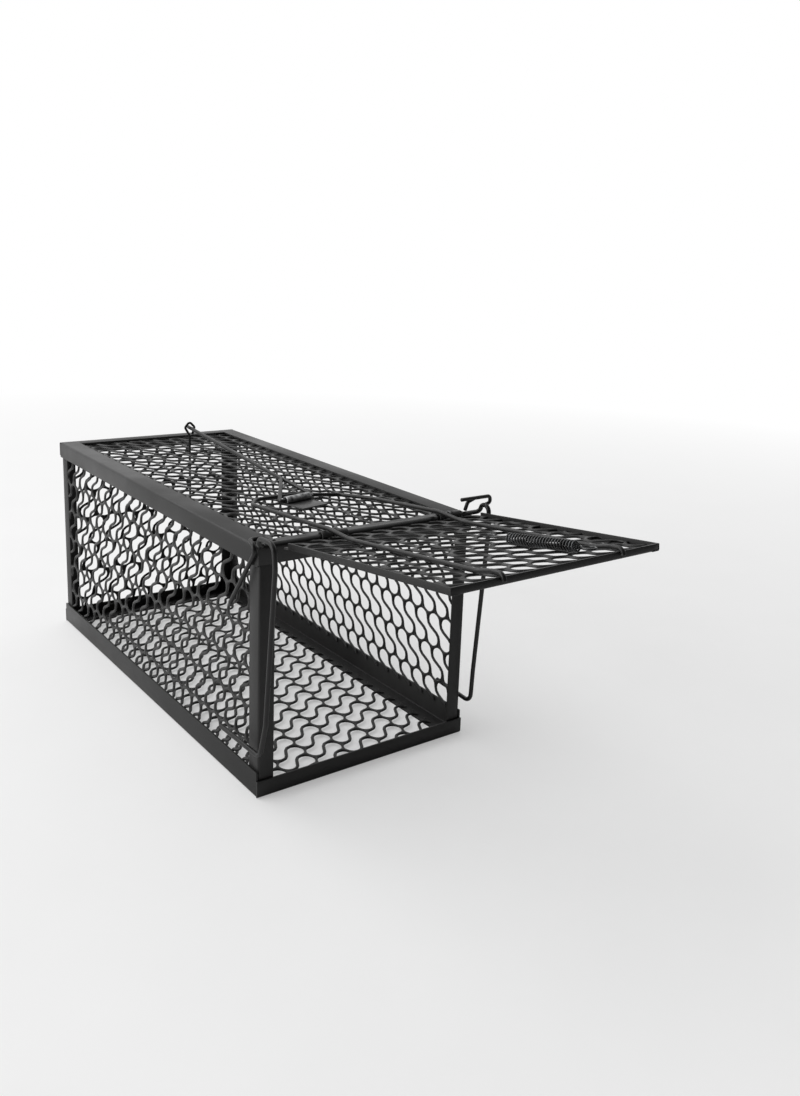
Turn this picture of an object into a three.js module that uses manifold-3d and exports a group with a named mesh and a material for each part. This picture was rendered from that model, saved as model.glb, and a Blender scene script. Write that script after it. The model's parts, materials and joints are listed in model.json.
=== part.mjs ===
import * as THREE from 'three';
import Module from 'manifold-3d';
import { mergeVertices } from 'three/addons/utils/BufferGeometryUtils.js';

// Live catch trap: a mesh box on sheet angles, with a spring door set open.
// Millimetres, +Z up, the door end faces -Y.

const wasm = await Module();
wasm.setup();

// Overall size of the box
const boxWidth = 115;
const boxLength = 255;
const boxHeight = 115;

// Sheet angles
const sheet = 1.0;
const postFrontLeg = 8.5;
const postSideLeg = 9.8;
const topSideLeg = 9.0;
const topFlatLeg = 10.2;
const baseSideLeg = 12.0;
const baseFlatLeg = 10.0;
const crossFaceLeg = 8.0;
const crossFlatLeg = 9.0;
const meshLap = 2.0;

// Pressed mesh panels: slanted cells in bands, next to each other along each band
const meshThick = 1.2;
const meshRib = 2.4;
const cellPitch = 10.3;
const bandPitch = 17.3;
const cellOpen = 7.0;
const cellLean = 8.0;
const bandShift = 2.9;

// Hinge rod, which is also the cross bar of the lock bail
const rodRadius = 1.1;
const rodForward = 2.8;
const rodRise = 1.6;
const runClear = 0.3;
const seatGap = 0.2;

// Door
const doorLeftInset = 8.2;
const doorRightInset = 2.2;
const doorGround = 0.3;
const doorTilt = THREE.MathUtils.degToRad(6.6);
const doorSheet = 0.8;
const doorMeshThick = 1.0;
const doorEdge = 4.0;
const doorFlange = 3.0;
const doorHemStrip = 7.0;
const hingeSpace = 1.2;
const knuckleLength = 5.0;
const clipPlaces = [-23, 41];
const clipNotch = 3;

// Door lever
const leverRadius = 1.0;
const leverSpread = 60;
const leverReach = 72;

// Trigger arm, its plate on the roof and the bait hook
const armRadius = 1.0;
const plateDepth = 13;
const plateWidth = 15.5;
const plateYaw = THREE.MathUtils.degToRad(12);
const plateCentreX = -4;
const leverToPlate = 11;
const armApexRise = 4.4;
const armTipRise = 15;
const baitX = 2;
const baitCell = 7;
const baitRadius = 0.7;
const baitDrop = 58;

// Lock bail arms: distance beside the box, how far the crook and the knee stand in front
// of the rod, how far the foot runs back, and the height of the foot
const bailLeft = { beside: 1.7, crook: 14.5, knee: 7.6, heel: 2.6, foot: 29, height: 23 };
const bailRight = { beside: 2.5, crook: 7.4, knee: 1.4, heel: 0.6, foot: 26, height: 17.4 };
const crookRise = 4.2;

// Spring on the door. The ends of its coil are given across and out along the door, and
// its hooks by how far out they stand.
const springRadius = 2.0;
const springWire = 0.45;
const springTurns = 14;
const springStart = [16, 70];
const springEnd = [23, 101];
const springHooks = [59, 106];

// Anchor wire of the hinge corner
const anchorWire = 1.0;

// Derived positions
const halfWidth = boxWidth / 2;
const railIn = halfWidth - sheet;
const roofTop = boxHeight - sheet;
const hingeY = -rodForward;
const hingeZ = boxHeight + rodRise;
const hemInner = rodRadius + runClear;
const hemOuter = hemInner + doorSheet;
const doorNear = hemOuter + hingeSpace;
const doorLeft = -halfWidth + doorLeftInset;
const doorRight = halfWidth - doorRightInset;
const doorWidth = doorRight - doorLeft;
const doorCentre = (doorLeft + doorRight) / 2;
const doorLength = hingeZ - 2 * leverRadius - seatGap - doorGround;
const leverLeft = doorCentre - leverSpread / 2;
const leverRight = doorCentre + leverSpread / 2;
const roofCentreY = boxLength / 2;
const baitY = roofCentreY + baitCell * cellPitch;
const leverZ = roofTop + seatGap + leverRadius;
const plateHem = armRadius + runClear + doorSheet;
const plateY = leverReach - leverToPlate;
const plateZ = roofTop + seatGap + plateHem;
const eyeZ = roofTop + armTipRise;

const trap = new THREE.Group();
trap.name = 'live_catch_trap';

function paint(hex, roughness, metalness) {
  return new THREE.MeshStandardMaterial({ color: hex, roughness, metalness });
}

function addPart(name, geometry, hex = 0x2b2b2d, roughness = 0.5, metalness = 0.4) {
  const mesh = new THREE.Mesh(geometry, paint(hex, roughness, metalness));
  mesh.name = name;
  trap.add(mesh);
}

// ---- Solid helpers ----

function toManifold(geometry) {
  const bare = geometry.clone();
  bare.deleteAttribute('normal');
  bare.deleteAttribute('uv');
  const merged = mergeVertices(bare, 1e-4);
  return new wasm.Manifold(new wasm.Mesh({
    numProp: 3,
    vertProperties: new Float32Array(merged.attributes.position.array),
    triVerts: new Uint32Array(merged.index.array),
  }));
}

function fromManifold(solid) {
  const mesh = solid.getMesh();
  const geometry = new THREE.BufferGeometry();
  geometry.setAttribute('position', new THREE.BufferAttribute(mesh.vertProperties, 3));
  geometry.setIndex(new THREE.BufferAttribute(mesh.triVerts, 1));
  return geometry;
}

function join(...geometries) {
  let solid = toManifold(geometries[0]);
  for (const geometry of geometries.slice(1)) {
    solid = solid.add(toManifold(geometry));
  }
  return fromManifold(solid);
}

function cut(geometry, ...tools) {
  let solid = toManifold(geometry);
  for (const tool of tools) {
    solid = solid.subtract(toManifold(tool));
  }
  return fromManifold(solid);
}

function block(low, high) {
  const geometry = new THREE.BoxGeometry(high[0] - low[0], high[1] - low[1], high[2] - low[2]);
  geometry.translate((low[0] + high[0]) / 2, (low[1] + high[1]) / 2, (low[2] + high[2]) / 2);
  return geometry;
}

// Stands a shape drawn in XY and pulled along Z on its own pair of directions.
function place(geometry, origin, xDir, yDir) {
  const x = new THREE.Vector3(...xDir);
  const y = new THREE.Vector3(...yDir);
  const z = new THREE.Vector3().crossVectors(x, y);
  const matrix = new THREE.Matrix4().makeBasis(x, y, z);
  matrix.setPosition(...origin);
  geometry.applyMatrix4(matrix);
  return geometry;
}

function extrude(shape, depth) {
  return new THREE.ExtrudeGeometry(shape, { depth, bevelEnabled: false, curveSegments: 3 });
}

// ---- Wires ----

// A path that steps from vertex to vertex, so straight runs need no extra rings.
class VertexPath extends THREE.Curve {
  constructor(points) {
    super();
    this.points = points;
  }

  getPoint(t) {
    const last = this.points.length - 1;
    const index = Math.min(Math.round(t * last), last);
    return this.points[index].clone();
  }

  getPointAt(u) {
    return this.getPoint(u);
  }

  getTangentAt(u) {
    const last = this.points.length - 1;
    const index = Math.min(Math.round(u * last), last);
    const before = this.points[Math.max(index - 1, 0)];
    const here = this.points[index];
    const after = this.points[Math.min(index + 1, last)];
    const tangent = new THREE.Vector3();
    if (index > 0) {
      tangent.add(here.clone().sub(before).normalize());
    }
    if (index < last) {
      tangent.add(after.clone().sub(here).normalize());
    }
    return tangent.normalize();
  }
}

// Rounds each corner of a run of points with a short arc.
function rounded(corners, bendRadius, steps = 3) {
  const points = corners.map((corner) => new THREE.Vector3(...corner));
  const path = [points[0]];
  for (let i = 1; i < points.length - 1; i += 1) {
    const toBefore = points[i - 1].clone().sub(points[i]);
    const toAfter = points[i + 1].clone().sub(points[i]);
    const reach = Math.min(bendRadius, toBefore.length() * 0.45, toAfter.length() * 0.45);
    const start = points[i].clone().addScaledVector(toBefore.normalize(), reach);
    const end = points[i].clone().addScaledVector(toAfter.normalize(), reach);
    const bend = new THREE.QuadraticBezierCurve3(start, points[i], end);
    path.push(...bend.getPoints(steps));
  }
  path.push(points[points.length - 1]);
  return path;
}

function wire(path, radius, sides = 8) {
  const section = new THREE.Shape();
  for (let i = 0; i < sides; i += 1) {
    const angle = (i + 0.5) * 2 * Math.PI / sides;
    const corner = radius / Math.cos(Math.PI / sides);
    const step = i === 0 ? 'moveTo' : 'lineTo';
    section[step](corner * Math.cos(angle), corner * Math.sin(angle));
  }
  section.closePath();
  return new THREE.ExtrudeGeometry(section, {
    steps: path.length - 1,
    extrudePath: new VertexPath(path),
    bevelEnabled: false,
  });
}

// ---- Sheet angles ----

function angleShape(legX, legY) {
  const shape = new THREE.Shape();
  shape.moveTo(0, 0);
  shape.lineTo(legX, 0);
  shape.lineTo(legX, sheet);
  shape.lineTo(sheet, sheet);
  shape.lineTo(sheet, legY);
  shape.lineTo(0, legY);
  shape.closePath();
  return shape;
}

// Long rails are outermost at the sides. side is -1 on the left, +1 on the right.
function longRail(side, atTop) {
  const sideLeg = atTop ? topSideLeg : baseSideLeg;
  const flatLeg = atTop ? topFlatLeg : baseFlatLeg;
  const up = atTop ? -1 : 1;
  const corner = atTop ? boxHeight : 0;
  const length = boxLength - 2 * sheet;
  const sideFirst = side * up < 0;
  const legs = sideFirst ? [sideLeg, flatLeg] : [flatLeg, sideLeg];
  const bar = extrude(angleShape(...legs), length);
  const flatDir = [-side, 0, 0];
  const sideDir = [0, 0, up];
  const origin = [side * halfWidth, sheet, corner];
  return sideFirst ? place(bar, origin, sideDir, flatDir) : place(bar, origin, flatDir, sideDir);
}

// Posts stand inside the rails.
function post(side, atFront) {
  const inward = atFront ? 1 : -1;
  const wallY = atFront ? sheet : boxLength - sheet;
  const faceDir = [-side, 0, 0];
  const sideDir = [0, inward, 0];
  const risesFromFace = side * inward < 0;
  const faceLeg = postFrontLeg - sheet;
  const sideLeg = postSideLeg - sheet;
  const legs = risesFromFace ? [faceLeg, sideLeg] : [sideLeg, faceLeg];
  const bar = extrude(angleShape(...legs), boxHeight - 2 * sheet);
  const origin = [side * railIn, wallY, sheet];
  return risesFromFace ? place(bar, origin, faceDir, sideDir) : place(bar, origin, sideDir, faceDir);
}

// Cross rails are outermost at the ends, and their flat legs butt between the long rails.
function crossRail(atFront, atTop) {
  const inward = atFront ? 1 : -1;
  const faceY = atFront ? 0 : boxLength;
  const up = atTop ? -1 : 1;
  const levelZ = atTop ? boxHeight : 0;
  const flatHalf = halfWidth - (atTop ? topFlatLeg : baseFlatLeg);
  const range = (a, b) => [Math.min(a, b), Math.max(a, b)];
  const [faceLow, faceHigh] = range(faceY, faceY + inward * sheet);
  const [flatLow, flatHigh] = range(faceY, faceY + inward * crossFlatLeg);
  const [zLow, zHigh] = range(levelZ, levelZ + up * crossFaceLeg);
  const [flatZLow, flatZHigh] = range(levelZ, levelZ + up * sheet);
  const face = block([-halfWidth, faceLow, zLow], [halfWidth, faceHigh, zHigh]);
  const flat = block([-flatHalf, flatLow, flatZLow], [flatHalf, flatHigh, flatZHigh]);
  return join(face, flat);
}

// ---- Mesh panels ----

// A sheet with bands of leaning slots. Bands lie side by side along X and each runs along Y.
// lean is +1 or -1: the way a slot shifts along Y as it crosses its band towards +X.
function slottedSheet(width, length, thickness, lean) {
  const plate = block([-width / 2, -length / 2, 0], [width / 2, length / 2, thickness]);
  const reach = (bandPitch - meshRib) / 2;
  const bands = Math.floor((width / 2 - meshRib - reach) / bandPitch);
  const slots = [];
  for (let band = -bands; band <= bands; band += 1) {
    const x = band * bandPitch;
    const rows = Math.ceil(length / 2 / cellPitch);
    for (let row = -rows; row <= rows; row += 1) {
      const shift = ((band * bandShift) % cellPitch) * lean;
      const y = row * cellPitch + shift;
      const spare = length / 2 - meshRib - (cellOpen + cellLean) / 2;
      if (Math.abs(y) <= spare) {
        slots.push(leaningSlot(x, y, reach, lean, thickness));
      }
    }
  }
  return cut(plate, ...slots);
}

function leaningSlot(x, y, reach, lean, thickness) {
  const low = y - lean * cellLean / 2;
  const high = y + lean * cellLean / 2;
  const shape = new THREE.Shape();
  shape.moveTo(x - reach, low - cellOpen / 2);
  shape.lineTo(x + reach, high - cellOpen / 2);
  shape.lineTo(x + reach, high + cellOpen / 2);
  shape.lineTo(x - reach, low + cellOpen / 2);
  shape.closePath();
  const slot = extrude(shape, thickness + 2);
  slot.translate(0, 0, -1);
  return slot;
}

// The panels lie against the inner faces of the rails and lap them by a narrow strip.
function sideMesh(side) {
  const low = baseSideLeg - meshLap;
  const high = boxHeight - topSideLeg + meshLap;
  const length = boxLength - 2 * (postSideLeg + seatGap);
  const panel = slottedSheet(high - low, length, meshThick, -side);
  const x = side < 0 ? -railIn : railIn - meshThick;
  return place(panel, [x, boxLength / 2, (low + high) / 2], [0, 0, -1], [0, 1, 0]);
}

function flatMesh(lowZ, flatLeg, lean) {
  const width = 2 * (halfWidth - flatLeg + meshLap);
  const length = boxLength - 2 * (crossFlatLeg - meshLap);
  const panel = slottedSheet(width, length, meshThick, lean);
  return place(panel, [0, boxLength / 2, lowZ], [1, 0, 0], [0, 1, 0]);
}

function rearMesh() {
  const width = 2 * (halfWidth - postFrontLeg - seatGap);
  const height = boxHeight - 2 * (crossFaceLeg - meshLap);
  const panel = slottedSheet(height, width, meshThick, 1);
  return place(panel, [0, boxLength - sheet - meshThick, boxHeight / 2], [0, 0, 1], [1, 0, 0]);
}

// ---- Hems ----

// A strip whose one edge is rolled into a tube. The tube is centred on the origin and the
// strip leaves it along -X, level with the underside of the tube.
function hemmedStrip(inner, thickness, reach, length) {
  const outer = inner + thickness;
  const sides = 12;
  const shape = new THREE.Shape();
  shape.moveTo(-reach, -outer);
  const meet = Math.PI + Math.asin(inner / outer);
  for (let i = 0; i <= sides; i += 1) {
    const angle = -Math.PI / 2 + (i / sides) * (meet + Math.PI / 2);
    shape.lineTo(outer * Math.cos(angle), outer * Math.sin(angle));
  }
  shape.lineTo(-reach, -inner);
  shape.closePath();
  const bore = new THREE.Path();
  for (let i = 0; i < sides; i += 1) {
    const angle = -i * 2 * Math.PI / sides;
    const step = i === 0 ? 'moveTo' : 'lineTo';
    bore[step](inner * Math.cos(angle), inner * Math.sin(angle));
  }
  bore.closePath();
  shape.holes.push(bore);
  return extrude(shape, length);
}

// ---- Door ----

// Door pieces are drawn with the rod axis as origin: x across, u out along the door, n up.
function doorPoint(x, u, n) {
  const y = hingeY - u * Math.cos(doorTilt) + n * Math.sin(doorTilt);
  const z = hingeZ + u * Math.sin(doorTilt) + n * Math.cos(doorTilt);
  return [x, y, z];
}

function onDoor(geometry) {
  const c = Math.cos(doorTilt);
  const s = Math.sin(doorTilt);
  const matrix = new THREE.Matrix4().makeBasis(
    new THREE.Vector3(1, 0, 0),
    new THREE.Vector3(0, c, -s),
    new THREE.Vector3(0, s, c),
  );
  matrix.setPosition(0, hingeY, hingeZ);
  geometry.applyMatrix4(matrix);
  return geometry;
}

// A block given as across, outward and upward ranges on the door.
function doorBlock(x, u, n) {
  return block([x[0], -u[1], n[0]], [x[1], -u[0], n[1]]);
}

// A flat strip with two rolled knuckles beside each clip of the rod.
function doorHinge() {
  const strip = doorBlock([doorLeft, doorRight], [doorNear, doorHemStrip], [-hemOuter, -hemInner]);
  const knuckles = [];
  for (const clip of clipPlaces) {
    for (const start of [clip - clipNotch / 2 - knuckleLength, clip + clipNotch / 2]) {
      const roll = hemmedStrip(hemInner, doorSheet, doorHemStrip, knuckleLength);
      knuckles.push(place(roll, [start, 0, 0], [0, 1, 0], [0, 0, 1]));
    }
  }
  return onDoor(join(strip, ...knuckles));
}

function doorSide(side) {
  const outer = side < 0 ? doorLeft : doorRight;
  const range = (reach) => [Math.min(outer, outer - side * reach), Math.max(outer, outer - side * reach)];
  const leg = doorBlock(range(doorEdge), [doorHemStrip, doorLength], [-hemOuter, -hemInner]);
  const flange = doorBlock(
    range(doorSheet),
    [doorHemStrip, doorLength],
    [-hemOuter, doorFlange - hemOuter],
  );
  return onDoor(join(leg, flange));
}

function doorEnd() {
  const leg = doorBlock(
    [doorLeft + doorEdge, doorRight - doorEdge],
    [doorLength - doorEdge, doorLength],
    [-hemOuter, -hemInner],
  );
  const flange = doorBlock(
    [doorLeft + doorSheet, doorRight - doorSheet],
    [doorLength - doorSheet, doorLength],
    [-hemInner, doorFlange - hemOuter],
  );
  return onDoor(join(leg, flange));
}

function doorMesh() {
  const width = doorWidth - 2 * doorSheet;
  const far = doorLength - doorSheet;
  const panel = slottedSheet(far - doorNear, width, doorMeshThick, -1);
  return onDoor(place(panel, [doorCentre, -(doorNear + far) / 2, -hemInner], [0, 1, 0], [-1, 0, 0]));
}

// Bent wire that lies on the door, crosses over the hinge and loops back on the roof.
function doorLever() {
  const meshTop = doorMeshThick - hemInner;
  const onMesh = meshTop + seatGap + leverRadius;
  const overHem = hemOuter + seatGap + leverRadius;
  const overEdge = doorFlange - hemOuter + seatGap + leverRadius;
  const beyondEdge = doorLength + seatGap + leverRadius;
  const arm = (x) => [
    doorPoint(x, beyondEdge, overEdge - 2.6),
    doorPoint(x, beyondEdge, overEdge),
    doorPoint(x, doorLength - 5, overEdge),
    doorPoint(x, doorLength - 12, onMesh),
    doorPoint(x, 20, onMesh),
    doorPoint(x, 2.5, overHem),
    doorPoint(x, -2, overHem),
  ];
  const corners = [
    ...arm(leverLeft),
    [leverLeft, leverReach - 8, leverZ],
    [leverLeft + 6, leverReach, leverZ],
    [leverLeft + 27, leverReach, leverZ],
    [leverRight - 12, leverReach - 10, leverZ],
    [leverRight - 3, leverReach - 26, leverZ + 0.6],
    ...arm(leverRight).reverse(),
  ];
  return wire(rounded(corners, 5), leverRadius);
}

// Coil spring laid along the door beside the right arm of the lever.
function doorSpring() {
  const rise = doorMeshThick - hemInner + seatGap + springWire + springRadius;
  const [nearHook, farHook] = springHooks;
  const coilLength = springEnd[1] - springStart[1];
  const slant = (springEnd[0] - springStart[0]) / coilLength;
  const at = (u) => springStart[0] + (u - springStart[1]) * slant;
  const path = [];
  for (let i = 0; i <= 7; i += 1) {
    const angle = -Math.PI * 0.4 + i * Math.PI * 0.25;
    const across = at(nearHook) + 3 * Math.sin(angle);
    path.push(doorPoint(across, nearHook - 3.4 * Math.cos(angle), rise));
  }
  const steps = springTurns * 8;
  for (let i = 0; i <= steps; i += 1) {
    const u = springStart[1] + coilLength * i / steps;
    const angle = i * 2 * Math.PI / 8;
    path.push(doorPoint(
      at(u) + springRadius * Math.cos(angle),
      u,
      rise + springRadius * Math.sin(angle),
    ));
  }
  for (let i = 0; i <= 7; i += 1) {
    const angle = Math.PI * 1.1 - i * Math.PI * 0.25;
    const across = at(farHook) + 2.6 * Math.sin(angle);
    path.push(doorPoint(across, farHook + 3 * Math.cos(angle), rise));
  }
  return wire(path.map((point) => new THREE.Vector3(...point)), springWire, 5);
}

// ---- Hinge rod and lock bail ----

const armTurn = 2.2;
const armX = (side) => side * (halfWidth + (side < 0 ? bailLeft : bailRight).beside);

function hingeRod() {
  const ends = [-1, 1].map((side) => new THREE.Vector3(armX(side) - side * armTurn, hingeY, hingeZ));
  return wire(ends, rodRadius);
}

// The arm starts on the rod end, crooks over forwards, hangs down and turns back at the foot.
function bailArm(side, bail) {
  const x = armX(side);
  const corners = [
    [x - side * armTurn, hingeY, hingeZ],
    [x, hingeY, hingeZ],
    [x, hingeY - 1.4, hingeZ + 3.6],
    [x, hingeY - bail.crook + 1.2, hingeZ + crookRise],
    [x, hingeY - bail.crook, hingeZ - 6],
    [x, hingeY - bail.knee, bail.height + 17],
    [x, hingeY - bail.heel, bail.height],
    [x + side * 1.5, bail.foot, bail.height + 0.8],
  ];
  return wire(rounded(corners, 5), rodRadius);
}

// Short bar above the right end of the rod, curled down at its outer end, on an arch that
// rises from the rod.
function bailTail() {
  const size = 0.9;
  const z = hingeZ + crookRise + rodRadius + seatGap + 2 * size;
  const y = hingeY - 1;
  const outer = armX(1) + rodRadius + 4;
  const bar = wire(rounded([
    [outer - 18, y, z],
    [outer, y, z],
    [outer + 0.4, y, z - 3.4],
    [outer - 2.4, y, z - 3.8],
  ], 1.7), size);
  const arch = wire(rounded([
    [outer - 14.5, hingeY, hingeZ + rodRadius + seatGap + 0.2],
    [outer - 13.5, y + 0.4, z - 1.6],
    [outer - 9.5, y, z],
  ], 2), size);
  return join(bar, arch);
}

// Small wire eye that holds the rod to the front top rail.
function hingeClip(x) {
  const radius = 0.6;
  const ring = hemInner + radius;
  const tailZ = boxHeight + radius + seatGap;
  const path = [];
  for (let i = 0; i <= 12; i += 1) {
    const angle = Math.PI * 0.3 + i * Math.PI * 1.5 / 12;
    path.push(new THREE.Vector3(x, hingeY + ring * Math.cos(angle), hingeZ + ring * Math.sin(angle)));
  }
  path.push(new THREE.Vector3(x, 0.4, tailZ + 0.15));
  path.push(new THREE.Vector3(x, crossFlatLeg - 1, tailZ));
  return wire(path, radius, 6);
}

// Open loop that lies on the left front corner of the roof, with a tail that runs down the
// side at a slant.
function anchorLoop() {
  const low = boxHeight + anchorWire + runClear;
  const inner = -halfWidth + 7.7;
  const out = -halfWidth - anchorWire - runClear;
  const corners = [
    [inner, 0.7, low],
    [inner, 8, low],
    [out + 1, 8, low],
    [out, 2.2, low - 0.4],
    [out, 0.9, boxHeight - 2.4],
    [out, 23, boxHeight - 30.6],
    [-railIn - anchorWire - runClear, 25, boxHeight - 32.6],
  ];
  return wire(rounded(corners, 3), anchorWire, 6);
}

// ---- Trigger ----

const plateOrigin = [plateCentreX, plateY, plateZ];

// Turns plate coordinates (across, rearward, up) to the yaw of the plate.
function platePoint(across, rearward, up) {
  return [
    plateOrigin[0] + across * Math.cos(plateYaw) - rearward * Math.sin(plateYaw),
    plateOrigin[1] + across * Math.sin(plateYaw) + rearward * Math.cos(plateYaw),
    plateOrigin[2] + up,
  ];
}

function triggerPlate() {
  const strip = hemmedStrip(armRadius + runClear, doorSheet, plateDepth, plateWidth);
  const rearward = [-Math.sin(plateYaw), Math.cos(plateYaw), 0];
  return place(strip, platePoint(-plateWidth / 2, 0, 0), rearward, [0, 0, 1]);
}

// The arm wire forms a triangle whose base turns in the plate's hem.
function triggerArm() {
  const half = plateWidth / 2 + armRadius + 1.7;
  const apex = [1, leverReach + 15, plateZ + armApexRise];
  const tip = [baitX, baitY + 2.4, eyeZ];
  const along = new THREE.Vector3(...tip).sub(new THREE.Vector3(...apex)).normalize();
  const beside = (distance) => [apex[0] + distance, apex[1] - 1.5, apex[2]];
  const triangle = wire(rounded([
    beside(-0.4),
    platePoint(-half, 1.0, 0.1),
    platePoint(-half + 1.2, 0, 0),
    platePoint(half - 1.2, 0, 0),
    platePoint(half, 1.0, 0.1),
    beside(0.4),
  ], 1.2, 2), armRadius);
  const start = new THREE.Vector3(...apex).addScaledVector(along, -2.5);
  const rod = wire([start, new THREE.Vector3(...tip)], armRadius);
  return join(triangle, rod);
}

// Diamond eye over the arm's tip, a stem through the roof and a hook for the bait.
function baitHook() {
  const wide = 3.0;
  const tall = 3.3;
  const stemZ = eyeZ - tall - 1.6;
  const hookZ = roofTop - baitDrop;
  const corners = [
    [baitX + 0.9, baitY - 1.5, stemZ + 0.8],
    [baitX + wide, baitY - 0.6, eyeZ],
    [baitX, baitY, eyeZ + tall],
    [baitX - wide, baitY, eyeZ],
    [baitX, baitY, stemZ],
    [baitX, baitY, hookZ],
    [baitX, baitY - 9, hookZ - 5],
    [baitX, baitY - 15, hookZ + 5],
  ];
  return wire(rounded(corners, 1.4, 2), baitRadius);
}

// ---- Assembly ----

const angleTone = 0x2c2c2e;
for (const side of [-1, 1]) {
  const hand = side < 0 ? 'left' : 'right';
  addPart(`top_${hand}_rail`, longRail(side, true), angleTone);
  addPart(`bottom_${hand}_rail`, longRail(side, false), angleTone);
  addPart(`front_${hand}_post`, post(side, true), angleTone);
  addPart(`rear_${hand}_post`, post(side, false), angleTone);
  addPart(`${hand}_mesh`, sideMesh(side), 0x1c1c1e);
  addPart(`bail_${hand}_arm`, bailArm(side, side < 0 ? bailLeft : bailRight), 0x151516, 0.4);
  addPart(`door_${hand}_edge`, doorSide(side), 0x202022);
}
addPart('front_top_rail', crossRail(true, true), angleTone);
addPart('front_bottom_rail', crossRail(true, false), angleTone);
addPart('rear_top_rail', crossRail(false, true), angleTone);
addPart('rear_bottom_rail', crossRail(false, false), angleTone);
addPart('roof_mesh', flatMesh(roofTop - meshThick, topFlatLeg, -1), 0x1c1c1e);
addPart('floor_mesh', flatMesh(sheet, baseFlatLeg, 1), 0x1c1c1e);
addPart('rear_mesh', rearMesh(), 0x1c1c1e);

addPart('hinge_rod', hingeRod(), 0x151516, 0.4);
addPart('bail_tail', bailTail(), 0x151516, 0.4);
addPart('hinge_clip_left', hingeClip(clipPlaces[0]), 0x4a4a4c, 0.35);
addPart('hinge_clip_right', hingeClip(clipPlaces[1]), 0x4a4a4c, 0.35);
addPart('anchor_wire', anchorLoop(), 0x151516, 0.4);

addPart('door_hinge_edge', doorHinge(), 0x303032);
addPart('door_end_edge', doorEnd(), 0x202022);
addPart('door_mesh', doorMesh(), 0x1c1c1e);
addPart('door_lever', doorLever(), 0x151516, 0.4);
addPart('door_spring', doorSpring(), 0x3a3a3c, 0.35, 0.7);

addPart('trigger_plate', triggerPlate(), 0x3a3a3c);
addPart('trigger_arm', triggerArm(), 0x151516, 0.4);
addPart('bait_hook', baitHook(), 0x151516, 0.4);

// The origin is moved to the centre of the whole object's base.
const bounds = new THREE.Box3().setFromObject(trap);
const middle = bounds.getCenter(new THREE.Vector3());
for (const mesh of trap.children) {
  mesh.geometry.translate(-middle.x, -middle.y, 0);
}

export default trap;
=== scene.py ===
import json
import math

import bmesh
import bpy
from mathutils import Matrix, Vector


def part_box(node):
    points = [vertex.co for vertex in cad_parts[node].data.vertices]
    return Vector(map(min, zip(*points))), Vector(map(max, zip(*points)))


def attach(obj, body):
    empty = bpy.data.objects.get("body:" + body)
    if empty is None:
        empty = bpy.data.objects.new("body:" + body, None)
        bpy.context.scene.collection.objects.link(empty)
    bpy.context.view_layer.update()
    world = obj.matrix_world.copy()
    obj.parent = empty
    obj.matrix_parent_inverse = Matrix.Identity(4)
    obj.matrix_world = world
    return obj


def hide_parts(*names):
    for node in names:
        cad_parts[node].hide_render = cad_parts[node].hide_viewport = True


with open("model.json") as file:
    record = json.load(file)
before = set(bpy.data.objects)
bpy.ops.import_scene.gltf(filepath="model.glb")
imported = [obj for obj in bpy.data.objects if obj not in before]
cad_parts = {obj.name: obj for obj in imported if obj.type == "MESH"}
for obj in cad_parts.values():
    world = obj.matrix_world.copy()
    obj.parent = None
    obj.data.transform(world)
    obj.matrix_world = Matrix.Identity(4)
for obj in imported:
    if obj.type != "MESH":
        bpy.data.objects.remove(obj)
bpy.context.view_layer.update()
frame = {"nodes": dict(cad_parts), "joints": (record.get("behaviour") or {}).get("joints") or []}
scene = bpy.context.scene
mm = 0.001

# In mm: how far a piece stands off what it rests on, and the play of one that turns.
seatGap = 0.2
runClear = 0.3

print("frame loaded,", len(frame["nodes"]), "nodes")

# The cage's own millimetres: x from its middle, y from its front face, z from the ground.
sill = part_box("front_bottom_rail")
middleX = (sill[0].x + sill[1].x) / 2
frontY = sill[0].y
cageHalf = (sill[1].x - sill[0].x) / 2 / mm
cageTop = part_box("front_top_rail")[1].z / mm
joints = {joint["name"]: Vector(joint["pos_m"]) for joint in frame["joints"]}
hinge = joints["door_hinge"]


def spot(x, y, z):
    return Vector((middleX + x * mm, frontY + y * mm, z * mm))


# The open door's own millimetres: x across, u outwards from the rod, n off its face.
doorTilt = math.radians(6.6)


def onDoor(x, u, n):
    y = -u * math.cos(doorTilt) + n * math.sin(doorTilt)
    z = u * math.sin(doorTilt) + n * math.cos(doorTilt)
    return hinge + Vector((x * mm, y * mm, z * mm))


class Amount:
    # The value of a node's socket, so that node sums are written as sums.
    def __init__(self, paint, socket):
        self.paint = paint
        self.socket = socket

    def maths(self, operation, first, second):
        return self.paint.number("ShaderNodeMath", {"operation": operation},
                                 {0: first, 1: second})

    def __add__(self, other):
        return self.maths("ADD", self, other)

    def __sub__(self, other):
        return self.maths("SUBTRACT", self, other)

    def __rsub__(self, other):
        return self.maths("SUBTRACT", other, self)

    def __mul__(self, other):
        return self.maths("MULTIPLY", self, other)

    __radd__ = __add__


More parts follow.
